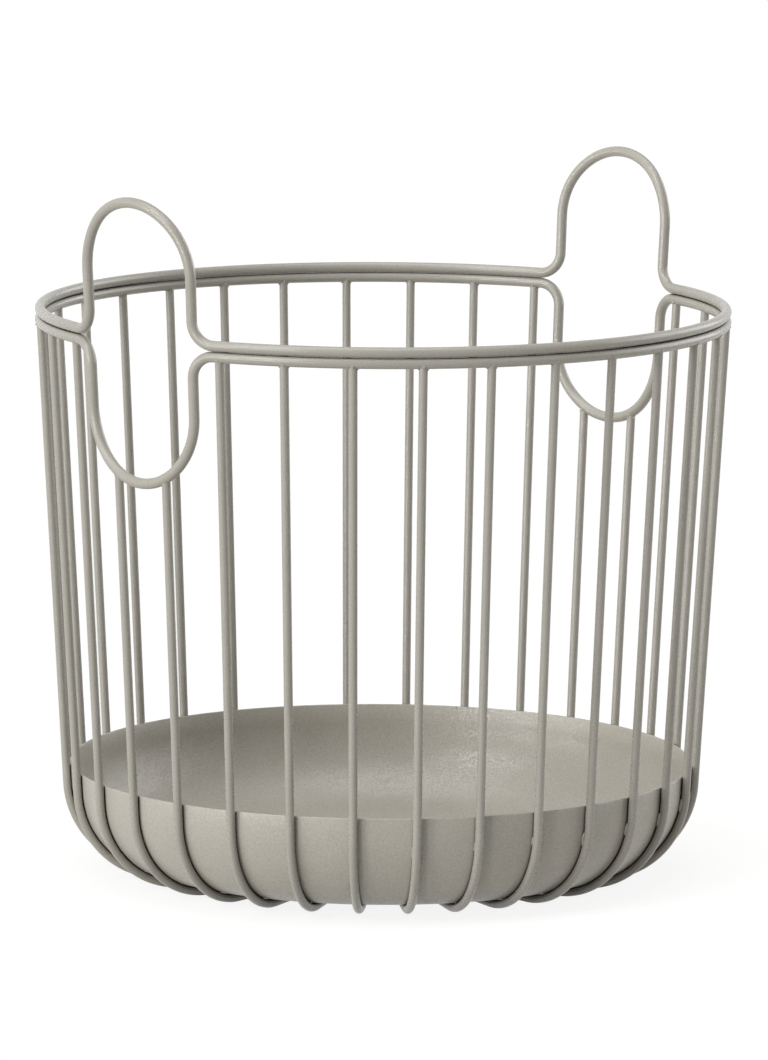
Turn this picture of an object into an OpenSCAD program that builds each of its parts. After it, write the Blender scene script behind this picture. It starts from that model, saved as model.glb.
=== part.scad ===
// Round wire storage basket: two stacked rim wires bent into handle loops,
// upright wires that curl under a pressed sheet tray, all welded together.
// Millimetres, +Z up, origin on the floor under the centre, handles on the X axis.

/* [Rims] */
// Outside diameter over the rim wires
rim_od = 400; // [340:5:460]
// Diameter of the wire that makes the rims and the handle loops
rim_wire_d = 6; // [5:0.5:8]
// Height of the seam between the two rims above the floor
seam_h = 324; // [250:1:400]

/* [Handle loops] */
// Half the width of a loop, along the rim from its middle to the leg's centre
loop_half_w = 41; // [34:0.5:50]
// Height of the handle arch's wire centre above the seam
handle_rise = 79; // [70:0.5:100]
// Depth of the lower loop's wire centre below the seam
loop_drop = 79; // [70:0.5:100]
// Centreline radius of the corner where a rim turns into a loop's leg
corner_r = 13; // [8:0.5:18]

/* [Uprights] */
// Number of upright wires, long and short together
upright_count = 32; // [24:2:40]
// Diameter of an upright wire
upright_d = 5; // [4:0.5:7]
// Lean of the uprights outwards from vertical, in degrees
lean = 3.2; // [1:0.2:6]
// Centreline radius of the bend that carries an upright under the tray
bend_r = 53; // [40:1:57]
// Length of the straight foot under the tray's floor
foot_len = 25; // [10:1:40]

/* [Tray] */
// Height of the tray's edge above the floor
tray_h = 63.5; // [60:0.5:100]
// Thickness of the tray's sheet
tray_t = 1.2; // [0.8:0.1:2]

/* [Clearances] */
// Gap between the two rim wires at the seam
seam_gap = 0.1; // [0.05:0.05:0.3]
// Gap between a coped upright's end and the wire it is welded to
weld_gap = 0.1; // [0.05:0.05:0.3]
// Gap between the tray's outer face and the uprights
tray_gap = 0.1; // [0.05:0.05:0.3]
// Extra thickness of a bent stretch, which the straight stretches run into
bend_swell = 0.02; // [0.01:0.01:0.04]
// Length by which a straight stretch runs on inside the bend that it meets
lap = 0.2; // [0.1:0.1:0.3]

/* [Hidden] */
$fn = 64;
paint = "#a5a196";

// Rims: centreline radius, and the centre heights of the two wires
rim_r = rim_od / 2 - rim_wire_d / 2;
upper_z = seam_h + seam_gap / 2 + rim_wire_d / 2;
lower_z = seam_h - seam_gap / 2 - rim_wire_d / 2;
// How far each loop's apex lies from its own rim's centre height
upper_reach = seam_h + handle_rise - upper_z;
lower_reach = lower_z - (seam_h - loop_drop);
// Angles round the rim, from a loop's middle, of its legs and of its corners' ends
leg_a = rim_angle(loop_half_w);
corner_a = leg_a + atan(corner_r / rim_r);
// Wire diameters along a bend
rim_bend_d = rim_wire_d + bend_swell;
upright_bend_d = upright_d + bend_swell;

// Uprights: the bend's centre, and where the bend runs out into the leaning wire
bend_z = upright_d / 2 + bend_r;
bend_top_z = bend_z - bend_r * sin(lean);
bend_top_r = rim_r - (lower_z - bend_top_z) * tan(lean);
bend_x = bend_top_r - bend_r * cos(lean);
// Two short uprights end under each lower loop, and the rest stand clear of its corners
pitch = 360 / upright_count;
short_angles = [-pitch / 2, pitch / 2, 180 - pitch / 2, 180 + pitch / 2];
side_count = upright_count / 2 - len(short_angles) / 2;
first_side_a = max(1.5 * pitch, corner_a + rim_angle(upright_d / 2 + weld_gap));
side_step = (180 - 2 * first_side_a) / (side_count - 1);
long_angles = [for (side = [0, 180], i = [0:side_count - 1]) side + first_side_a + i * side_step];

// Tray: it nests inside the uprights, so its bend shares their centre
tray_bend_r = bend_r - upright_d / 2 - tray_gap;
tray_mid_r = tray_bend_r - tray_t / 2;
tray_edge_z = tray_h - tray_t / 2;
tray_wall_len = (tray_edge_z - bend_z + tray_mid_r * sin(lean)) / cos(lean);

function two_digits(i) = str(i < 10 ? "0" : "", i);
function upright_name(i) = str("upright_", two_digits(i + 1));
function short_upright_name(i) = str("short_upright_", i + 1);

// Angle round the rim that a length measured along it takes up
function rim_angle(length) = length / rim_r * 180 / PI;
function unit(v) = v / norm(v);

// A point on the basket's leaning wall: its rise is counted from the rim at height rim_z
function wall_point(a, rise, rim_z) =
    let (r = rim_r + rise * tan(lean)) [r * cos(a), r * sin(a), rim_z + rise];
// Directions in that wall: up its slope, and round the rim
function wall_up(a) = [sin(lean) * cos(a), sin(lean) * sin(a), cos(lean)];
function wall_round(a) = [-sin(a), cos(a), 0];

// A pair of arcs that leaves p along t and arrives at q along u: the point where they meet
function arcs_join(p, t, q, u) =
    let (
        v = q - p,
        w = t + u,
        k = 2 * (1 - t * u),
        reach = (sqrt((v * w) * (v * w) + k * (v * v)) - v * w) / k
    ) (p + q + reach * (t - u)) / 2;

// Depth of the lower loop's wire centre below the lower rim, above an upright at angle a
function loop_depth(a) =
    let (s = abs(a) * PI / 180 * rim_r)
    lower_reach - loop_half_w + sqrt(loop_half_w * loop_half_w - s * s);

// Places on the +Y half of a loop at the +X side: the rim's end, the point where the lines
// of rim and leg cross, the leg's two ends, the arch's apex, and where the arch's arcs meet
function rim_end(rim_z) = wall_point(corner_a, 0, rim_z);
function corner(rim_z) = rim_end(rim_z) - corner_r * wall_round(corner_a);
function leg_foot(rim_z, way) = corner(rim_z) + way * corner_r * wall_up(leg_a);
function leg_end(rim_z, way, reach) =
    corner(rim_z) + way * (reach - loop_half_w) / cos(lean) * wall_up(leg_a);
function apex(rim_z, way, reach) = wall_point(0, way * reach, rim_z);
function arch_join(rim_z, way, reach) = arcs_join(
    leg_end(rim_z, way, reach), way * wall_up(leg_a), apex(rim_z, way, reach), -wall_round(0)
);

// Straight wire from p to q, run on by the lap at both ends
module straight_wire(p, q, d) {
    v = q - p;
    translate(p) rotate([0, acos(v.z / norm(v)), atan2(v.y, v.x)])
        translate([0, 0, -lap]) cylinder(d = d, h = norm(v) + 2 * lap);
}

// Wire bent to the circular arc that leaves p along t and ends at q. A spanning arc
// goes as far to the other side of p, and is run on by the lap at both ends.
module arc_wire(p, t, q, d, spanning = false) {
    chord = q - p;
    normal = unit(cross(t, chord));
    inward = cross(normal, t);
    r = (chord * chord) / (2 * (chord * inward));
    sweep = 2 * atan2(chord * inward, chord * t);
    half_span = sweep + lap / r * 180 / PI;
    o = p + r * inward;
    multmatrix([
        [-inward.x, t.x, normal.x, o.x],
        [-inward.y, t.y, normal.y, o.y],
        [-inward.z, t.z, normal.z, o.z]
    ])
        rotate_extrude(angle = spanning ? 2 * half_span : sweep, start = spanning ? -half_span : 0)
            translate([r, 0]) circle(d = d);
}

// The lower quarter of an arch on its +Y side, and the top of the arch over both sides
module arch_shoulder(rim_z, way, reach, d) {
    arc_wire(leg_end(rim_z, way, reach), way * wall_up(leg_a), arch_join(rim_z, way, reach), d);
}
module arch_top(rim_z, way, reach, d) {
    arc_wire(apex(rim_z, way, reach), wall_round(0), arch_join(rim_z, way, reach), d, true);
}

// The +Y side of a loop below its arch's top: corner, leg and shoulder, up (1) or down (-1)
module loop_side(rim_z, way, reach) {
    arc_wire(rim_end(rim_z), -wall_round(corner_a), leg_foot(rim_z, way), rim_bend_d);
    straight_wire(leg_foot(rim_z, way), leg_end(rim_z, way, reach), rim_wire_d);
    arch_shoulder(rim_z, way, reach, rim_bend_d);
}

// A rim ring that is broken by two loops and closed again round them
module looped_rim(rim_z, way, reach) {
    start_a = corner_a - rim_angle(lap);
    for (side = [0, 180]) rotate([0, 0, side]) {
        translate([0, 0, rim_z]) rotate_extrude(angle = 180 - 2 * start_a, start = start_a)
            translate([rim_r, 0]) circle(d = rim_wire_d);
        loop_side(rim_z, way, reach);
        mirror([0, 1, 0]) loop_side(rim_z, way, reach);
        arch_top(rim_z, way, reach, rim_wire_d);
    }
}

// An upright on the +X side: foot, bend and leaning wire up to the height top_z
module upright_wire(top_z) {
    translate([bend_x - foot_len, 0, upright_d / 2]) rotate([0, 90, 0])
        cylinder(d = upright_d, h = foot_len + lap);
    translate([bend_x, 0, bend_z]) rotate([90, 0, 0])
        rotate_extrude(angle = 90 - lean, start = -90)
            translate([bend_r, 0]) circle(d = upright_bend_d);
    translate([bend_top_r, 0, bend_top_z]) rotate([0, lean, 0])
        translate([0, 0, -lap]) cylinder(d = upright_d, h = (top_z - bend_top_z) / cos(lean) + lap);
}

module upper_rim() {
    color(paint) looped_rim(upper_z, 1, upper_reach);
}

module lower_rim() {
    color(paint) looped_rim(lower_z, -1, lower_reach);
}

// Half section of the tray: flat floor, round corner, leaning wall and rounded edge
module tray_section() {
    sector = 2 * tray_bend_r;
    translate([0, upright_d + tray_gap]) square([bend_x + lap, tray_t]);
    translate([bend_x, bend_z]) {
        intersection() {
            difference() {
                circle(d = 2 * tray_bend_r + bend_swell);
                circle(d = 2 * (tray_bend_r - tray_t) - bend_swell);
            }
            polygon([[0, 0], [0, -sector], [sector, -sector], sector * [cos(lean), -sin(lean)]]);
        }
        rotate(-lean) {
            translate([tray_bend_r - tray_t, -lap]) square([tray_t, tray_wall_len + lap]);
            translate([tray_mid_r, tray_wall_len]) circle(d = tray_t + bend_swell);
        }
    }
}

module tray() {
    color(paint) rotate_extrude() tray_section();
}

// Long upright, its top coped to the underside of the lower rim
module upright(a) {
    color(paint) rotate([0, 0, a]) difference() {
        upright_wire(lower_z);
        translate([0, 0, lower_z]) rotate_extrude()
            translate([rim_r, 0]) circle(d = rim_wire_d + 2 * weld_gap);
    }
}

// Short upright, its top coped to the underside of a lower loop
module short_upright(a) {
    side = a > 90 ? 180 : 0;
    from_middle = a - side;
    color(paint) rotate([0, 0, side]) difference() {
        rotate([0, 0, from_middle]) upright_wire(lower_z - loop_depth(from_middle));
        arch_top(lower_z, -1, lower_reach, rim_wire_d + 2 * weld_gap);
        mirror([0, from_middle < 0 ? 1 : 0, 0])
            arch_shoulder(lower_z, -1, lower_reach, rim_bend_d + 2 * weld_gap);
    }
}

upper_rim();
lower_rim();
tray();
for (i = [0:len(long_angles) - 1])
    upright(long_angles[i]);
for (i = [0:len(short_angles) - 1])
    short_upright(short_angles[i]);
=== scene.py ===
"""How a round wire storage basket looks: two rims with handle loops, uprights and a tray.

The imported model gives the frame. Each wire is swept again along its own path, smooth and with
finished ends, the tray is turned from its sheet section, and the welds that the solids leave
out are laid where wires and sheet meet. Lengths are millimetres until a mesh is made.
"""

import logging
import math
import random
from collections.abc import Iterable, Sequence
from dataclasses import dataclass, field
from enum import Enum

import bmesh
import bpy
from mathutils import Matrix, Vector

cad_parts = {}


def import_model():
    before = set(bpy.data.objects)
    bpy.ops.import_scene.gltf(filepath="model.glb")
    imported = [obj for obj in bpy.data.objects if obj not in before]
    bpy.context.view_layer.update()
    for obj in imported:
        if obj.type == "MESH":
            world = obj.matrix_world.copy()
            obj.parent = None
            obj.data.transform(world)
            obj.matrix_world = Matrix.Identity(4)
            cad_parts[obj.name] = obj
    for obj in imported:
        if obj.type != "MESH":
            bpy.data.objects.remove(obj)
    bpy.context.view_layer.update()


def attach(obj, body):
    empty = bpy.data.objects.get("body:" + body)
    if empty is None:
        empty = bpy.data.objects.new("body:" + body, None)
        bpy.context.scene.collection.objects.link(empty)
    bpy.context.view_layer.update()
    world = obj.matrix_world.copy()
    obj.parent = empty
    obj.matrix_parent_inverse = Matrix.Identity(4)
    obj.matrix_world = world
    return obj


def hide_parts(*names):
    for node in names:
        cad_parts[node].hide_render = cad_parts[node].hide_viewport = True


LOG = logging.getLogger("basket")
MM = 0.001
BODY = "root"
# Points nearer to each other than this are one point
SAME_POINT_MM = 1e-4


class Way(Enum):
    """The way in which a rim's handle loops leave its ring."""

    UP = 1
    DOWN = -1


def linear_colour(hex_colour: str) -> tuple[float, float, float, float]:
    """Turn an sRGB hex colour into the linear colour that a shader takes.

    Args:
        hex_colour: The colour, such as "#a5a196".

    Returns:
        Linear red, green and blue, with an alpha of 1.
    """
    channels = (int(hex_colour[i:i + 2], 16) / 255 for i in (1, 3, 5))
    red, green, blue = (
        c / 12.92 if c <= 0.04045 else ((c + 0.055) / 1.055) ** 2.4 for c in channels
    )
    return red, green, blue, 1.0


def add_node(
    tree: bpy.types.NodeTree, kind: str, settings: dict | None = None, inputs: dict | None = None
) -> bpy.types.Node:
    """Add a node with its settings, input values and links.

    Args:
        tree: The node tree that the node goes into.
        kind: Blender's name for the kind of node.
        settings: Properties of the node itself, by name.
        inputs: Values or other nodes' output sockets, by the input's name or number.

    Returns:
        The new node.
    """
    node = tree.nodes.new(kind)
    for name, value in (settings or {}).items():
        setattr(node, name, value)
    for name, value in (inputs or {}).items():
        if isinstance(value, bpy.types.NodeSocket):
            tree.links.new(value, node.inputs[name])
        else:
            node.inputs[name].default_value = value
    return node


def arc_points(start: Vector, heading: Vector, end: Vector, step: float) -> list[Vector]:
    """Lay points along the circular arc that leaves start along heading and arrives at end.

    Args:
        start: Where the arc starts.
        heading: Its unit direction there.
        end: Where it ends.
        step: The longest stretch between two points.

    Returns:
        The arc's points, both ends among them.
    """
    chord = end - start
    inward = heading.cross(chord).cross(heading).normalized()
    radius = chord.length_squared / (2 * chord.dot(inward))
    sweep = 2 * math.atan2(chord.dot(inward), chord.dot(heading))
    centre = start + radius * inward
    count = max(2, math.ceil(radius * sweep / step))
    angles = (sweep * i / count for i in range(count + 1))
    return [centre + radius * (math.sin(a) * heading - math.cos(a) * inward) for a in angles]


def arcs_join(start: Vector, heading: Vector, end: Vector, arrival: Vector) -> Vector:
    """Find where two arcs meet that run smoothly into each other.

    Args:
        start: Where the first arc starts.
        heading: Its unit direction there.
        end: Where the second arc ends.
        arrival: Its unit direction there.

    Returns:
        The point at which the first arc runs into the second.
    """
    span = end - start
    turn = heading + arrival
    parting = 2 * (1 - heading.dot(arrival))
    along = span.dot(turn)
    reach = (math.sqrt(along * along + parting * span.length_squared) - along) / parting
    return (start + end + reach * (heading - arrival)) / 2


def joined(*stretches: Iterable[Vector]) -> list[Vector]:
    """Put stretches of a path end to end.

    Args:
        stretches: Each stretch's points, in order.

    Returns:
        The whole path, with each shared end kept once.
    """
    path: list[Vector] = []
    for point in (p for stretch in stretches for p in stretch):
        if not path or (point - path[-1]).length > SAME_POINT_MM:
            path.append(point)
    return path


def mesh_from(
    name: str,
    points: Sequence[Vector],
    edges: Sequence[tuple[int, int]] = (),
    faces: Sequence[Sequence[int]] = (),
) -> bpy.types.Object:
    """Make a mesh object at the origin from points in millimetres.

    Args:
        name: The piece's name.
        points: Its points, in the frame's axes.
        edges: Pairs of point numbers.
        faces: Rings of point numbers.

    Returns:
        The new object, linked to the scene.
    """
    mesh = bpy.data.meshes.new(name)
    mesh.from_pydata([p * MM for p in points], list(edges), list(faces))
    piece = bpy.data.objects.new(name, mesh)
    bpy.context.scene.collection.objects.link(piece)
    return piece


def grown(piece: bpy.types.Object, tree: bpy.types.NodeTree, values: dict) -> None:
    """Run a Geometry Nodes tree on a piece and keep its result as a plain mesh.

    Args:
        piece: The piece whose mesh feeds the tree.
        tree: The tree.
        values: The tree's inputs, by their names.
    """
    modifier = piece.modifiers.new("growth", "NODES")
    modifier.node_group = tree
    for item in tree.interface.items_tree:
        if item.in_out == "INPUT" and item.name in values:
            modifier[item.identifier] = values[item.name]
    evaluated = piece.evaluated_get(bpy.context.evaluated_depsgraph_get())
    mesh = bpy.data.meshes.new_from_object(evaluated)
    piece.modifiers.clear()
    piece.data = mesh


def kept(piece: bpy.types.Object, *nodes: str) -> None:
    """Give a finished piece to the basket's one body.

    Args:
        piece: The piece.
        nodes: The solids that it takes the place of, if there are any.
    """
    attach(piece, BODY)
    if nodes:
        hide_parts(*nodes)
    LOG.info("%s: %d faces", piece.name, len(piece.data.polygons))


@dataclass(frozen=True)
class PowderCoat:
    """Polyester powder coat with a fine texture, baked on steel.

    The powder melts and cures without flowing out fully, which leaves an even, satin, slightly
    gritty skin. It scatters highlights into a soft sheen with small bright grains in it. In tight
    creases, and where the floor lies near, its colour is darkened and its shine taken away: painted
    shade.
    """

    name: str
    colour: str = "#aca89e"
    shade: str = "#a4a096"
    # Real grit is about 0.3 mm. It is drawn coarser than that so that it shows from a step away.
    grit_mm: float = 1.1
    grit_depth_mm: float = 0.1
    grit_detail: float = 2.0
    grit_fineness: float = 0.6
    # The coat's thickness drifts over a few centimetres, which tints it a little.
    drift_mm: float = 45.0
    drift_detail: float = 3.0
    # Sums of grit and drift at which the coat has its shade and its full colour
    tint_range: tuple[float, float] = (0.7, 1.3)
    ior: float = 1.5
    roughness: float = 0.31
    roughness_spread: float = 0.07
    # A smooth coat's shine would be 0.5. The grit's dips mirror less than its tips.
    dip_shine: float = 0.15
    tip_shine: float = 0.55
    # Heights of the grit, from 0 to 1, between which its roughness and its shine change
    roughness_range: tuple[float, float] = (0.3, 0.7)
    shine_range: tuple[float, float] = (0.35, 0.65)
    # Painted shade: how near another surface, the floor among them, has to lie for a spot to be
    # darkened, and the dark colour painted there, where the shine is taken away too
    painted_shade_reach_mm: float = 2.5
    painted_shade_colour: str = "#38352f"
    # How openly a spot has to lie to get less of this painted shade, and to get none
    painted_shade_range: tuple[float, float] = (0.15, 0.6)
    painted_shade_samples: int = 8

    def material(self) -> bpy.types.Material:
        """Build the node material.

        Returns:
            The coat, which a piece takes as its material.
        """
        made = bpy.data.materials.new(self.name)
        made.use_nodes = True
        tree = made.node_tree
        tree.nodes.clear()
        place = add_node(tree, "ShaderNodeTexCoord").outputs["Object"]
        grit = add_node(tree, "ShaderNodeTexNoise", {}, {
            "Vector": place, "Scale": 1 / (self.grit_mm * MM),
            "Detail": self.grit_detail, "Roughness": self.grit_fineness,
        })
        drift = add_node(tree, "ShaderNodeTexNoise", {}, {
            "Vector": place, "Scale": 1 / (self.drift_mm * MM), "Detail": self.drift_detail,
        })
        tint = add_node(tree, "ShaderNodeMath", {"operation": "ADD"}, {
            0: grit.outputs["Fac"], 1: drift.outputs["Fac"],
        })
        share = add_node(tree, "ShaderNodeMapRange", {}, {
            "Value": tint.outputs[0],
            "From Min": self.tint_range[0], "From Max": self.tint_range[1],
        })
        colour = add_node(tree, "ShaderNodeMix", {"data_type": "RGBA"}, {
            "Factor": share.outputs["Result"],
            "A": linear_colour(self.shade),
            "B": linear_colour(self.colour),
        })
        # Painted shade: where other surfaces or the floor lie within reach, the colour is darkened
        # towards the dark crease colour
        painted_shade_openness = add_node(tree, "ShaderNodeAmbientOcclusion", {"samples": self.painted_shade_samples}, {
            "Distance": self.painted_shade_reach_mm * MM,
        })
        unshaded_share = add_node(tree, "ShaderNodeMapRange", {}, {
            "Value": painted_shade_openness.outputs["AO"],
            "From Min": self.painted_shade_range[0], "From Max": self.painted_shade_range[1],
        })
        painted_shade_mix = add_node(tree, "ShaderNodeMix", {"data_type": "RGBA"}, {
            "Factor": unshaded_share.outputs["Result"],
            "A": linear_colour(self.painted_shade_colour),
            "B": colour.outputs["Result"],
        })
        gloss = add_node(tree, "ShaderNodeMapRange", {}, {
            "Value": grit.outputs["Fac"],
            "From Min": self.roughness_range[0], "From Max": self.roughness_range[1],
            "To Min": self.roughness + self.roughness_spread,
            "To Max": self.roughness - self.roughness_spread,
        })
        shine = add_node(tree, "ShaderNodeMapRange", {}, {
            "Value": grit.outputs["Fac"],
            "From Min": self.shine_range[0], "From Max": self.shine_range[1],
            "To Min": self.dip_shine, "To Max": self.tip_shine,
        })
        # Painted shade also takes the shine away in the same creases
        unshaded_shine = add_node(tree, "ShaderNodeMath", {"operation": "MULTIPLY"}, {
            0: shine.outputs["Result"], 1: unshaded_share.outputs["Result"],
        })
        skin = add_node(tree, "ShaderNodeBump", {}, {
            "Height": grit.outputs["Fac"], "Strength": 1.0, "Distance": self.grit_depth_mm * MM,
        })
        shader = add_node(tree, "ShaderNodeBsdfPrincipled", {}, {
            "Base Color": painted_shade_mix.outputs["Result"],
            "Roughness": gloss.outputs["Result"],
            "Normal": skin.outputs["Normal"],
            "IOR": self.ior,
            "Specular IOR Level": unshaded_shine.outputs[0],
        })
        add_node(tree, "ShaderNodeOutputMaterial", {}, {"Surface": shader.outputs["BSDF"]})
        return made


@dataclass(frozen=True)
class Wall:
    """The leaning wall that all the wires lie on, and the bend that ends it below."""

    rim_od: float = 400.0
    rim_wire_d: float = 6.0
    seam_h: float = 324.0
    seam_gap: float = 0.1
    lean: float = math.radians(3.2)
    upright_d: float = 5.0
    bend_r: float = 53.0

    @property
    def rim_r(self) -> float:
        """Radius of the rims' centreline."""
        return (self.rim_od - self.rim_wire_d) / 2

    @property
    def half_seam(self) -> float:
        """Distance of either rim's wire centre from the seam between the rims."""
        return (self.seam_gap + self.rim_wire_d) / 2

    @property
    def lower_z(self) -> float:
        """Height of the lower rim's wire centre."""
        return self.rim_z(Way.DOWN)

    def rim_z(self, way: Way) -> float:
        """Height of the wire centre of the rim whose loops go that way."""
        return self.seam_h + way.value * self.half_seam

    @property
    def bend_z(self) -> float:
        """Height of the centre of an upright's bend."""
        return self.upright_d / 2 + self.bend_r

    @property
    def bend_top(self) -> tuple[float, float]:
        """Radius and height at which the bend runs out into the leaning wire."""
        height = self.bend_z - self.bend_r * math.sin(self.lean)
        return self.rim_r - (self.lower_z - height) * math.tan(self.lean), height

    @property
    def bend_x(self) -> float:
        """Radius at which the bend's centre lies, where the foot starts."""
        return self.bend_top[0] - self.bend_r * math.cos(self.lean)

    def point(self, angle: float, rise: float, rim_z: float) -> Vector:
        """A point on the wall, its rise counted from the rim at height rim_z."""
        radius = self.rim_r + rise * math.tan(self.lean)
        return Vector((radius * math.cos(angle), radius * math.sin(angle), rim_z + rise))

    def up(self, angle: float) -> Vector:
        """Unit direction up the wall's slope."""
        tilt = math.sin(self.lean)
        return Vector((tilt * math.cos(angle), tilt * math.sin(angle), math.cos(self.lean)))


def outwards(angle: float) -> Vector:
    """Unit direction away from the basket's axis at an angle round it."""
    return Vector((math.cos(angle), math.sin(angle), 0))


def onwards(angle: float) -> Vector:
    """Unit direction round the basket, anticlockwise from above, at an angle round it."""
    return Vector((-math.sin(angle), math.cos(angle), 0))


@dataclass(frozen=True)
class WireSweep:
    """Sweeps round wire along a chain of points, as a Geometry Nodes tree."""

    sides: int = 28
    girth: str = "girth"

    def tree(self) -> bpy.types.NodeTree:
        """Build the tree: path to curve, curve to tube, smooth, coated.

        Returns:
            The tree, which one sweep's wires share.
        """
        tree = bpy.data.node_groups.new("wire_sweep", "GeometryNodeTree")
        sockets = tree.interface
        sockets.new_socket("Path", in_out="INPUT", socket_type="NodeSocketGeometry")
        sockets.new_socket("Wire Diameter", in_out="INPUT", socket_type="NodeSocketFloat")
        sockets.new_socket("Sides", in_out="INPUT", socket_type="NodeSocketInt")
        sockets.new_socket("Coat", in_out="INPUT", socket_type="NodeSocketMaterial")
        sockets.new_socket("Wire", in_out="OUTPUT", socket_type="NodeSocketGeometry")
        given = add_node(tree, "NodeGroupInput").outputs
        path = add_node(tree, "GeometryNodeMeshToCurve", {}, {"Mesh": given["Path"]})
        girth = add_node(tree, "GeometryNodeInputNamedAttribute", {"data_type": "FLOAT"}, {
            "Name": self.girth,
        })
        sized = add_node(tree, "GeometryNodeSetCurveRadius", {}, {
            "Curve": path.outputs[0], "Radius": girth.outputs[0],
        })
        half = add_node(tree, "ShaderNodeMath", {"operation": "MULTIPLY"}, {
            0: given["Wire Diameter"], 1: 0.5,
        })
        ring = add_node(tree, "GeometryNodeCurvePrimitiveCircle", {"mode": "RADIUS"}, {
            "Resolution": given["Sides"], "Radius": half.outputs[0],
        })
        tube = add_node(tree, "GeometryNodeCurveToMesh", {}, {
            "Curve": sized.outputs[0], "Profile Curve": ring.outputs[0], "Fill Caps": True,
        })
        smooth = add_node(tree, "GeometryNodeSetShadeSmooth", {}, {0: tube.outputs[0]})
        coated = add_node(tree, "GeometryNodeSetMaterial", {}, {
            0: smooth.outputs[0], "Material": given["Coat"],
        })
        add_node(tree, "NodeGroupOutput", {}, {0: coated.outputs[0]})
        return tree

    def wire(
        self,
        name: str,
        path: Sequence[Vector],
        diameter: float,
        coat: bpy.types.Material,
        tree: bpy.types.NodeTree,
        closed: bool = False,
        girths: Sequence[float] = (),
    ) -> bpy.types.Object:
        """Sweep one wire.

        Args:
            name: The piece's name.
            path: The wire's centreline.
            diameter: The wire's diameter.
            coat: Its material.
            tree: This sweep's tree.
            closed: Whether the wire closes on itself.
            girths: Each point's share of the full diameter, or nothing for a plain wire.

        Returns:
            The wire, as a plain mesh.
        """
        count = len(path)
        edges = [(i, (i + 1) % count) for i in range(count if closed else count - 1)]
        piece = mesh_from(name, path, edges)
        attribute = piece.data.attributes.new(self.girth, "FLOAT", "POINT")
        attribute.data.foreach_set("value", list(girths) or [1.0] * count)
        grown(piece, tree, {
            "Wire Diameter": diameter * MM, "Sides": self.sides, "Coat": coat,
        })
        return piece


@dataclass(frozen=True)
class LoopedRim:
    """One rim wire: a ring that is bent out of its round into a handle loop at each end of X."""

    wall: Wall
    way: Way
    # How far the loop's wire centre goes from the seam, measured at its apex
    travel: float = 79.0
    half_w: float = 41.0
    corner_r: float = 13.0
    bend_step: float = 1.2
    ring_step: float = 3.0

    @property
    def z(self) -> float:
        """Height of the ring's wire centre."""
        return self.wall.rim_z(self.way)

    @property
    def reach(self) -> float:
        """Distance of the apex from the ring, without its sign."""
        return self.travel - self.wall.half_seam

    @property
    def leg_a(self) -> float:
        """Angle round the rim from a loop's middle to its leg."""
        return self.half_w / self.wall.rim_r

    @property
    def corner_a(self) -> float:
        """Angle round the rim from a loop's middle to where the ring starts to bend."""
        return self.leg_a + math.atan(self.corner_r / self.wall.rim_r)

    def half_loop(self) -> list[Vector]:
        """Lay the +Y half of the loop at +X.

        Returns:
            Points of its centreline, from the ring's end to the loop's apex.
        """
        wall, way = self.wall, self.way.value
        ring_end = wall.point(self.corner_a, 0, self.z)
        corner = ring_end - self.corner_r * onwards(self.corner_a)
        up = way * wall.up(self.leg_a)
        leg_foot = corner + self.corner_r * up
        leg_end = corner + (self.reach - self.half_w) / math.cos(wall.lean) * up
        apex = wall.point(0, way * self.reach, self.z)
        middle = arcs_join(leg_end, up, apex, -onwards(0))
        return joined(
            arc_points(ring_end, -onwards(self.corner_a), leg_foot, self.bend_step),
            arc_points(leg_end, up, middle, self.bend_step),
            reversed(arc_points(apex, onwards(0), middle, self.bend_step)),
        )

    def ring_arc(self, start: float, end: float) -> list[Vector]:
        """Lay the ring's own arc between two angles.

        Args:
            start: The angle at which it starts.
            end: The angle at which it ends, which is the larger one.

        Returns:
            Points of its centreline, both ends among them.
        """
        count = math.ceil((end - start) * self.wall.rim_r / self.ring_step)
        angles = (start + (end - start) * i / count for i in range(count + 1))
        return [self.wall.point(a, 0, self.z) for a in angles]

    def path(self) -> list[Vector]:
        """Lay the whole closed wire.

        Returns:
            Points of its centreline, anticlockwise from the apex of the loop at +X.
        """
        half = self.half_loop()
        far = [Vector((-p.x, p.y, p.z)) for p in half]
        path = joined(
            reversed(half),
            self.ring_arc(self.corner_a, math.pi - self.corner_a),
            far,
            reversed([Vector((p.x, -p.y, p.z)) for p in far]),
            self.ring_arc(math.pi + self.corner_a, 2 * math.pi - self.corner_a),
            [Vector((p.x, -p.y, p.z)) for p in half],
        )
        return path[:-1]

    def depth_at(self, angle: float) -> float:
        """Distance of the loop's wire centre from the ring, at an angle from the loop's middle."""
        across = abs(angle) * self.wall.rim_r
        return self.reach - self.half_w + math.sqrt(self.half_w ** 2 - across ** 2)

    def build(self, sweep: WireSweep, tree: bpy.types.NodeTree, coat: bpy.types.Material) -> None:
        """Make the rim's wire and put it in the place of its solid.

        Args:
            sweep: The sweep that makes it.
            tree: The sweep's tree.
            coat: The wire's material.
        """
        node = f"{'upper' if self.way is Way.UP else 'lower'}_rim"
        piece = sweep.wire(
            f"{node}_wire", self.path(), self.wall.rim_wire_d, coat, tree, closed=True
        )
        kept(piece, node)


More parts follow.
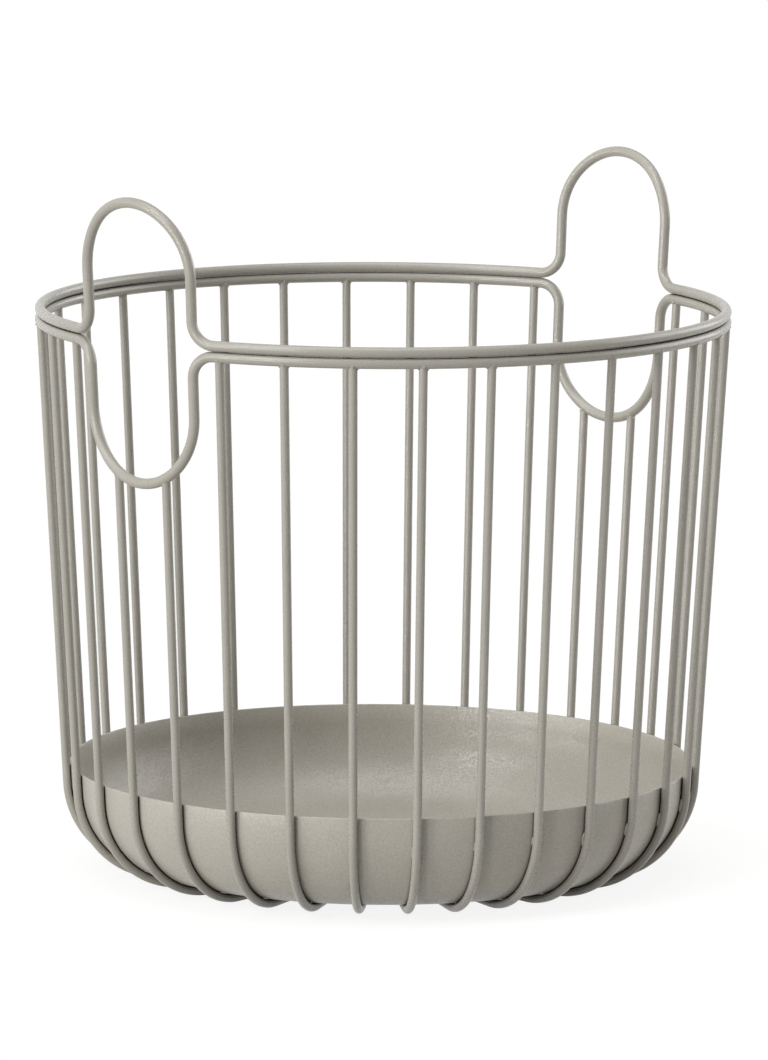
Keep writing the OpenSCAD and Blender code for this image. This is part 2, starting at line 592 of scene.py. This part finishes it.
@dataclass(frozen=True)
class Uprights:
    """The upright wires, which end under the lower rim or, at the handles, under its loops."""

    wall: Wall
    lower_rim: LoopedRim
    count: int = 32
    foot_len: float = 25.0
    weld_gap: float = 0.1
    bend_step: float = 1.5
    # Length over which the cut end of a foot is rounded, and what its radius loses there
    nose_len: float = 0.9
    nose_steps: int = 4

    @property
    def pitch(self) -> float:
        """Angle between neighbouring uprights, were they all evenly spread."""
        return 2 * math.pi / self.count

    def short_angles(self) -> list[float]:
        """Angles of the short uprights, a pair under each lower loop."""
        half = self.pitch / 2
        return [-half, half, math.pi - half, math.pi + half]

    def long_angles(self) -> list[float]:
        """Spread the long uprights evenly, clear of the loops' corners.

        Returns:
            Their angles, first those on the +Y side.
        """
        per_side = (self.count - len(self.short_angles())) // 2
        beside = (self.wall.upright_d / 2 + self.weld_gap) / self.wall.rim_r
        # A short upright stands half a pitch from the handle's middle, and the next a pitch on
        first = max(1.5 * self.pitch, self.lower_rim.corner_a + beside)
        step = (math.pi - 2 * first) / (per_side - 1)
        return [side + first + i * step for side in (0, math.pi) for i in range(per_side)]

    def top_z(self, angle: float) -> float:
        """Find how high an upright reaches.

        Args:
            angle: The upright's angle round the basket.

        Returns:
            Height of the centre of the wire that it ends under.
        """
        if angle in self.short_angles():
            from_middle = math.remainder(angle, math.pi)
            return self.wall.lower_z - self.lower_rim.depth_at(from_middle)
        return self.wall.lower_z

    def path(self, angle: float) -> tuple[list[Vector], list[float]]:
        """Lay one upright from its foot's cut end to the middle of the wire above it.

        Args:
            angle: The upright's angle round the basket.

        Returns:
            The points of its centreline, and each point's share of the full diameter.
        """
        wall = self.wall
        out, up = outwards(angle), Vector((0, 0, 1))
        foot_start = wall.bend_x - self.foot_len
        floor = wall.upright_d / 2 * up
        nose, girths = [], []
        for i in range(self.nose_steps + 1):
            turn = math.pi / 2 * i / self.nose_steps
            nose.append((foot_start + self.nose_len * (1 - math.cos(turn))) * out + floor)
            girths.append(1 - 2 * self.nose_len / wall.upright_d * (1 - math.sin(turn)))
        bend_r, bend_z = wall.bend_top
        bend = arc_points(
            wall.bend_x * out + floor, out, bend_r * out + bend_z * up, self.bend_step
        )
        top = wall.point(angle, self.top_z(angle) - wall.lower_z, wall.lower_z)
        path = joined(nose, bend, [top])
        return path, girths + [1.0] * (len(path) - len(girths))

    def build(self, sweep: WireSweep, tree: bpy.types.NodeTree, coat: bpy.types.Material) -> None:
        """Make every upright and put each in the place of its solid.

        Args:
            sweep: The sweep that makes them.
            tree: The sweep's tree.
            coat: The wires' material.
        """
        named = [(f"upright_{i + 1:02d}", a) for i, a in enumerate(self.long_angles())]
        named += [(f"short_upright_{i + 1}", a) for i, a in enumerate(self.short_angles())]
        for node, angle in named:
            path, girths = self.path(angle)
            piece = sweep.wire(
                f"{node}_wire", path, self.wall.upright_d, coat, tree, girths=girths
            )
            kept(piece, node)


@dataclass(frozen=True)
class Tray:
    """The pressed sheet tray that nests inside the uprights' bends."""

    wall: Wall
    height: float = 63.5
    sheet: float = 1.2
    gap: float = 0.1
    slices: int = 256
    bend_steps: int = 28
    edge_steps: int = 6
    floor_rings: int = 6

    @property
    def bend_r(self) -> float:
        """Radius of the outer face of the tray's round corner."""
        return self.wall.bend_r - self.wall.upright_d / 2 - self.gap

    def section(self) -> list[tuple[float, float]]:
        """Lay the right half of the sheet's section.

        Returns:
            Radii and heights, from the axis under the floor, round the edge, to the axis above it.
        """
        wall = self.wall
        floor_z = wall.upright_d + self.gap
        mid_r = self.bend_r - self.sheet / 2
        rise = self.height - self.sheet / 2 - wall.bend_z + mid_r * math.sin(wall.lean)
        wall_len = rise / math.cos(wall.lean)
        turns = [
            -math.pi / 2 + (math.pi / 2 - wall.lean) * i / self.bend_steps
            for i in range(self.bend_steps + 1)
        ]

        def face(radius: float) -> list[tuple[float, float]]:
            """Lay the floor and the round corner of one face of the sheet.

            Args:
                radius: The corner's radius on that face.

            Returns:
                Radii and heights, outwards from the axis.
            """
            bottom = wall.bend_z - radius
            floor = [(wall.bend_x * i / self.floor_rings, bottom) for i in range(self.floor_rings)]
            bend = [
                (wall.bend_x + radius * math.cos(t), wall.bend_z + radius * math.sin(t))
                for t in turns
            ]
            return floor + bend

        edge = []
        for i in range(self.edge_steps + 1):
            turn = math.pi * i / self.edge_steps
            across = mid_r + self.sheet / 2 * math.cos(turn)
            along = wall_len + self.sheet / 2 * math.sin(turn)
            edge.append((
                wall.bend_x + across * math.cos(wall.lean) + along * math.sin(wall.lean),
                wall.bend_z - across * math.sin(wall.lean) + along * math.cos(wall.lean),
            ))
        outer = face(wall.bend_z - floor_z)
        inner = face(wall.bend_z - floor_z - self.sheet)
        return outer + edge + inner[::-1]

    def build(self, coat: bpy.types.Material) -> None:
        """Turn the section round the basket's axis and put it in the place of the tray's solid.

        Args:
            coat: The sheet's material.
        """
        section = self.section()
        rings = section[1:-1]
        # A point on the axis below, then the rings one after another, then a point on the axis
        points = [Vector((0, 0, section[0][1]))]
        for radius, height in rings:
            for i in range(self.slices):
                around = 2 * math.pi * i / self.slices
                points.append(radius * outwards(around) + Vector((0, 0, height)))
        points.append(Vector((0, 0, section[-1][1])))
        last = len(points) - 1
        faces: list[tuple[int, ...]] = []
        for i in range(self.slices):
            j = (i + 1) % self.slices
            faces.append((0, 1 + j, 1 + i))
            for ring in range(len(rings) - 1):
                low, high = 1 + ring * self.slices, 1 + (ring + 1) * self.slices
                faces.append((low + i, low + j, high + j, high + i))
            top = 1 + (len(rings) - 1) * self.slices
            faces.append((last, top + i, top + j))
        piece = mesh_from("tray_sheet", points, faces=faces)
        shell = bmesh.new()
        shell.from_mesh(piece.data)
        bmesh.ops.remove_doubles(shell, verts=shell.verts, dist=SAME_POINT_MM * MM)
        bmesh.ops.recalc_face_normals(shell, faces=shell.faces)
        shell.to_mesh(piece.data)
        shell.free()
        piece.data.shade_smooth()
        piece.data.materials.append(coat)
        kept(piece, "tray")


@dataclass(frozen=True)
class Bead:
    """One lump of weld metal: its place, two directions that it follows, and its half sizes."""

    place: Vector
    along: Vector
    out: Vector
    size: Vector


@dataclass(frozen=True)
class Welds:
    """The welds at the uprights' tops and in the creases between uprights and tray."""

    wall: Wall
    uprights: Uprights
    tray: Tray
    # Weld metal that is pressed out beside an upright's top, and before and behind it
    ear: Vector = field(default_factory=lambda: Vector((0.8, 0.75, 0.6)))
    bump: Vector = field(default_factory=lambda: Vector((0.9, 0.7, 0.55)))
    # A bead laid in the crease beside an upright, below the tray's edge
    bead: Vector = field(default_factory=lambda: Vector((3.4, 0.9, 0.65)))
    bead_drop: float = 18.0
    bead_drop_spread: float = 2.0
    # Where it lies on the upright, in shares of the wire's radius: towards the tray, and sideways
    bead_in_share: float = 0.75
    bead_side_share: float = 0.85
    # How many of the uprights have a bead in their other crease too
    second_bead_share: float = 0.15
    size_spread: float = 0.25
    # How far a bead's skin swells or sinks, how wide its lumps are, and the noise behind them
    unevenness: float = 0.25
    lump_mm: float = 1.3
    lump_detail: float = 1.0
    lump_range: tuple[float, float] = (0.3, 0.7)
    subdivisions: int = 3
    seed: int = 7

    def tree(self) -> bpy.types.NodeTree:
        """Build the tree that lays an uneven bead of weld metal at each point.

        Returns:
            The tree, which all the beads share.
        """
        tree = bpy.data.node_groups.new("weld_beads", "GeometryNodeTree")
        sockets = tree.interface
        sockets.new_socket("Places", in_out="INPUT", socket_type="NodeSocketGeometry")
        sockets.new_socket("Lump Size", in_out="INPUT", socket_type="NodeSocketFloat")
        sockets.new_socket("Unevenness", in_out="INPUT", socket_type="NodeSocketFloat")
        sockets.new_socket("Coat", in_out="INPUT", socket_type="NodeSocketMaterial")
        sockets.new_socket("Beads", in_out="OUTPUT", socket_type="NodeSocketGeometry")
        given = add_node(tree, "NodeGroupInput").outputs
        drop = add_node(tree, "GeometryNodeMeshIcoSphere", {}, {
            "Radius": 1.0, "Subdivisions": self.subdivisions,
        })
        turn = add_node(tree, "GeometryNodeInputNamedAttribute", {"data_type": "FLOAT_VECTOR"}, {
            "Name": "turn",
        })
        size = add_node(tree, "GeometryNodeInputNamedAttribute", {"data_type": "FLOAT_VECTOR"}, {
            "Name": "size",
        })
        rotation = add_node(tree, "FunctionNodeEulerToRotation", {}, {0: turn.outputs[0]})
        laid = add_node(tree, "GeometryNodeInstanceOnPoints", {}, {
            "Points": given["Places"], "Instance": drop.outputs["Mesh"],
            "Rotation": rotation.outputs[0], "Scale": size.outputs[0],
        })
        solid = add_node(tree, "GeometryNodeRealizeInstances", {}, {0: laid.outputs[0]})
        place = add_node(tree, "GeometryNodeInputPosition")
        pitch = add_node(tree, "ShaderNodeMath", {"operation": "DIVIDE"}, {
            0: 1.0, 1: given["Lump Size"],
        })
        noise = add_node(tree, "ShaderNodeTexNoise", {}, {
            "Vector": place.outputs[0], "Scale": pitch.outputs[0], "Detail": self.lump_detail,
        })
        swing = add_node(tree, "ShaderNodeMapRange", {}, {
            "Value": noise.outputs[0],
            "From Min": self.lump_range[0], "From Max": self.lump_range[1],
            "To Min": -1.0, "To Max": 1.0,
        })
        depth = add_node(tree, "ShaderNodeMath", {"operation": "MULTIPLY"}, {
            0: swing.outputs[0], 1: given["Unevenness"],
        })
        normal = add_node(tree, "GeometryNodeInputNormal")
        shift = add_node(tree, "ShaderNodeVectorMath", {"operation": "SCALE"}, {
            0: normal.outputs[0], "Scale": depth.outputs[0],
        })
        uneven = add_node(tree, "GeometryNodeSetPosition", {}, {
            0: solid.outputs[0], "Offset": shift.outputs[0],
        })
        smooth = add_node(tree, "GeometryNodeSetShadeSmooth", {}, {0: uneven.outputs[0]})
        coated = add_node(tree, "GeometryNodeSetMaterial", {}, {
            0: smooth.outputs[0], "Material": given["Coat"],
        })
        add_node(tree, "NodeGroupOutput", {}, {0: coated.outputs[0]})
        return tree

    def top_beads(self, draw: random.Random) -> list[Bead]:
        """Place the weld metal at the uprights' tops: ears beside them, bumps before and behind.

        Args:
            draw: The random numbers, which vary the beads' sizes.

        Returns:
            The beads, four at each upright.
        """
        beads = []
        rim_half, wire_half = self.wall.rim_wire_d / 2, self.wall.upright_d / 2
        saddle = math.sqrt(rim_half ** 2 - wire_half ** 2)
        for angle in self.uprights.long_angles() + self.uprights.short_angles():
            rise = self.uprights.top_z(angle) - self.wall.lower_z
            centre = self.wall.point(angle, rise, self.wall.lower_z)
            up, out, on = self.wall.up(angle), outwards(angle), onwards(angle)
            for side in (-1, 1):
                spot = centre - rim_half * up + side * wire_half * on
                beads.append(Bead(spot, up, side * on, self.ear * self.varied(draw)))
            for side in (-1, 1):
                spot = centre - saddle * up + side * wire_half * out
                beads.append(Bead(spot, on, side * out, self.bump * self.varied(draw)))
        return beads

    def crease_beads(self, draw: random.Random) -> list[Bead]:
        """Place the beads in the creases between the uprights and the tray.

        Args:
            draw: The random numbers, which vary the beads' places, sizes and number.

        Returns:
            The beads, one or two at each upright.
        """
        beads = []
        wall = self.wall
        wire_half = wall.upright_d / 2
        for angle in self.uprights.long_angles() + self.uprights.short_angles():
            sides = [-1] + ([1] if draw.random() < self.second_bead_share else [])
            for side in sides:
                drop = self.bead_drop + self.bead_drop_spread * (2 * draw.random() - 1)
                turn = math.asin((self.tray.height - drop - wall.bend_z) / wall.bend_r)
                out, on, up = outwards(angle), onwards(angle), Vector((0, 0, 1))
                away = math.cos(turn) * out + math.sin(turn) * up
                along = math.cos(turn) * up - math.sin(turn) * out
                centre = wall.bend_x * out + wall.bend_z * up + wall.bend_r * away
                spot = centre - self.bead_in_share * wire_half * away
                spot += side * self.bead_side_share * wire_half * on
                beads.append(Bead(spot, along, side * on, self.bead * self.varied(draw)))
        return beads

    def varied(self, draw: random.Random) -> float:
        """Draw how large one bead is, as a share of its usual size."""
        return 1 + self.size_spread * (2 * draw.random() - 1)

    def lay(
        self, name: str, beads: list[Bead], tree: bpy.types.NodeTree, coat: bpy.types.Material
    ) -> None:
        """Make one piece of all these beads.

        Args:
            name: The piece's name.
            beads: Where the beads lie, and how large they are.
            tree: The tree that makes the beads.
            coat: Their material.
        """
        piece = mesh_from(name, [b.place for b in beads])
        turns = piece.data.attributes.new("turn", "FLOAT_VECTOR", "POINT")
        sizes = piece.data.attributes.new("size", "FLOAT_VECTOR", "POINT")
        for i, bead in enumerate(beads):
            across = bead.out.cross(bead.along)
            axes = Matrix((bead.along, across, bead.out)).transposed()
            turns.data[i].vector = Vector(axes.to_euler())
            sizes.data[i].vector = bead.size * MM
        grown(piece, tree, {
            "Lump Size": self.lump_mm * MM, "Unevenness": self.unevenness * MM, "Coat": coat,
        })
        kept(piece)

    def build(self, coat: bpy.types.Material) -> None:
        """Make the welds at the tops and in the creases.

        Args:
            coat: Their material.
        """
        tree = self.tree()
        draw = random.Random(self.seed)
        self.lay("rim_welds", self.top_beads(draw), tree, coat)
        self.lay("tray_welds", self.crease_beads(draw), tree, coat)


@dataclass(frozen=True)
class StudioLight:
    """A far light, which falls evenly on basket and floor.

    Its azimuth is counted from the camera's side, to the camera's right. Its width is the angle
    that it spans in the sky. All three angles are degrees. Its level is the share of its own
    colour that a matt face shows when it is turned to this light alone.
    """

    name: str
    azimuth: float
    elevation: float
    width: float
    level: float

    def build(self, facing: float) -> None:
        """Hang the light.

        Args:
            facing: The camera's azimuth, in degrees.
        """
        around = math.radians(facing + self.azimuth)
        above = math.radians(self.elevation)
        back = Vector((
            math.sin(around) * math.cos(above), -math.cos(around) * math.cos(above), math.sin(above)
        ))
        light = bpy.data.lights.new(self.name, "SUN")
        light.angle = math.radians(self.width)
        light.energy = math.pi * self.level
        holder = bpy.data.objects.new(self.name, light)
        holder.location = back
        holder.rotation_mode = "QUATERNION"
        holder.rotation_quaternion = (-back).to_track_quat("-Z", "Y")
        bpy.context.scene.collection.objects.link(holder)


@dataclass(frozen=True)
class Studio:
    """Pale floor, soft light, and the camera at the photograph's viewing angle."""

    # The camera's place and aim: degrees round the basket, millimetres from its axis and above
    # the floor, degrees down and round the view, and the lens and shift that frame the basket
    azimuth: float = -45.845
    away: float = 4223.6
    height: float = 858.3
    tilt_down: float = 8.887
    roll: float = 0.332
    lens: float = 251.53
    shift_x: float = 0.00188
    floor_size: float = 40000.0
    # The floor's colour in the light that it throws on the basket, its colour where it is seen,
    # and the glow that lifts it to white there
    floor_colour: str = "#d4d3d0"
    floor_seen_colour: str = "#6e6e6c"
    floor_glow: float = 0.88
    # The even light from all round
    ambient: float = 0.02
    lights: tuple[StudioLight, ...] = (
        StudioLight("high_key_light", -48.0, 40.0, 26.0, 0.42),
        StudioLight("low_key_light_left", -76.0, 3.5, 10.0, 0.18),
        StudioLight("low_key_light_middle", -56.0, 3.5, 10.0, 0.22),
        StudioLight("low_key_light_right", -36.0, 3.5, 10.0, 0.21),
        StudioLight("side_light", 115.0, 8.0, 60.0, 0.74),
        StudioLight("top_light", -50.0, 82.0, 50.0, 0.52),
    )

    def camera(self) -> None:
        """Stand the camera where the photograph was taken from."""
        around = math.radians(self.azimuth)
        back = Vector((math.sin(around), -math.cos(around), 0))
        camera = bpy.data.cameras.new("camera")
        camera.lens = self.lens
        camera.shift_x = self.shift_x
        camera.clip_end = self.floor_size * MM
        holder = bpy.data.objects.new("camera", camera)
        holder.location = (self.away * back + Vector((0, 0, self.height))) * MM
        level = Matrix.Rotation(around, 3, "Z") @ Matrix.Rotation(math.pi / 2, 3, "X")
        tilted = level @ Matrix.Rotation(-math.radians(self.tilt_down), 3, "X")
        rolled = tilted @ Matrix.Rotation(math.radians(self.roll), 3, "Z")
        holder.rotation_mode = "QUATERNION"
        holder.rotation_quaternion = rolled.to_quaternion()
        bpy.context.scene.collection.objects.link(holder)
        bpy.context.scene.camera = holder

    def seen_directly(self, tree: bpy.types.NodeTree) -> bpy.types.NodeSocket:
        """Add the test for a ray that shows the background.

        Args:
            tree: The node tree that the test goes into.

        Returns:
            The socket that is 1 for a ray from the camera, or one that is mirrored or let through.
        """
        ray = add_node(tree, "ShaderNodeLightPath").outputs
        first = add_node(tree, "ShaderNodeMath", {"operation": "MAXIMUM"}, {
            0: ray["Is Camera Ray"], 1: ray["Is Glossy Ray"],
        })
        both = add_node(tree, "ShaderNodeMath", {"operation": "MAXIMUM"}, {
            0: first.outputs[0], 1: ray["Is Transmission Ray"],
        })
        return both.outputs[0]

    def floor(self) -> None:
        """Lay the floor, which looks white to the camera and still takes the basket's shadow."""
        half = self.floor_size / 2
        corners = [Vector((x, y, 0)) for x, y in ((-1, -1), (1, -1), (1, 1), (-1, 1))]
        floor = mesh_from("floor", [half * c for c in corners], faces=[(0, 1, 2, 3)])
        made = bpy.data.materials.new("matt_studio_floor")
        made.use_nodes = True
        tree = made.node_tree
        tree.nodes.clear()
        seen = self.seen_directly(tree)
        colour = add_node(tree, "ShaderNodeMix", {"data_type": "RGBA"}, {
            "Factor": seen,
            "A": linear_colour(self.floor_colour),
            "B": linear_colour(self.floor_seen_colour),
        })
        matt = add_node(tree, "ShaderNodeBsdfDiffuse", {}, {"Color": colour.outputs["Result"]})
        strength = add_node(tree, "ShaderNodeMath", {"operation": "MULTIPLY"}, {
            0: seen, 1: self.floor_glow,
        })
        glow = add_node(tree, "ShaderNodeEmission", {}, {"Strength": strength.outputs[0]})
        both = add_node(tree, "ShaderNodeAddShader", {}, {
            0: matt.outputs[0], 1: glow.outputs[0],
        })
        add_node(tree, "ShaderNodeOutputMaterial", {}, {"Surface": both.outputs[0]})
        floor.data.materials.append(made)

    def world(self) -> None:
        """Set the even light from all round, which the camera sees as white."""
        world = bpy.data.worlds.new("studio")
        world.use_nodes = True
        tree = world.node_tree
        tree.nodes.clear()
        strength = add_node(tree, "ShaderNodeMapRange", {}, {
            "Value": self.seen_directly(tree), "To Min": self.ambient, "To Max": 1.0,
        })
        sky = add_node(tree, "ShaderNodeBackground", {}, {
            "Color": linear_colour("#ffffff"), "Strength": strength.outputs[0],
        })
        add_node(tree, "ShaderNodeOutputWorld", {}, {"Surface": sky.outputs[0]})
        bpy.context.scene.world = world

    def build(self) -> None:
        """Set up the camera, the floor, the surroundings and the lights."""
        self.camera()
        self.floor()
        self.world()
        for light in self.lights:
            light.build(self.azimuth)
        bpy.context.scene.view_settings.view_transform = "Standard"
        LOG.info("studio: %d lights", len(self.lights))


def main() -> None:
    """Load the frame, set up the studio, and build the basket piece by piece."""
    logging.basicConfig(level=logging.INFO, format="%(name)s: %(message)s")
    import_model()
    Studio().build()
    # The wires' coat is the same powder as the sheet's. Its colours are about a tenth darker, as
    # painted shade, and it is a little glossier
    wire_coat = PowderCoat(
        "powder_coated_steel_wire", "#a39f96", "#9b988e",
        roughness=0.28, dip_shine=0.35, tip_shine=0.65,
    ).material()
    sheet_coat = PowderCoat(
        "powder_coated_steel_sheet",
        grit_depth_mm=0.085, roughness=0.36, dip_shine=0.1, tip_shine=0.85,
    ).material()
    wall = Wall()
    sweep = WireSweep()
    tree = sweep.tree()
    lower_rim = LoopedRim(wall, Way.DOWN)
    LoopedRim(wall, Way.UP).build(sweep, tree, wire_coat)
    lower_rim.build(sweep, tree, wire_coat)
    uprights = Uprights(wall, lower_rim)
    uprights.build(sweep, tree, wire_coat)
    tray = Tray(wall)
    tray.build(sheet_coat)
    Welds(wall, uprights, tray).build(wire_coat)


if __name__ == "__main__":
    main()
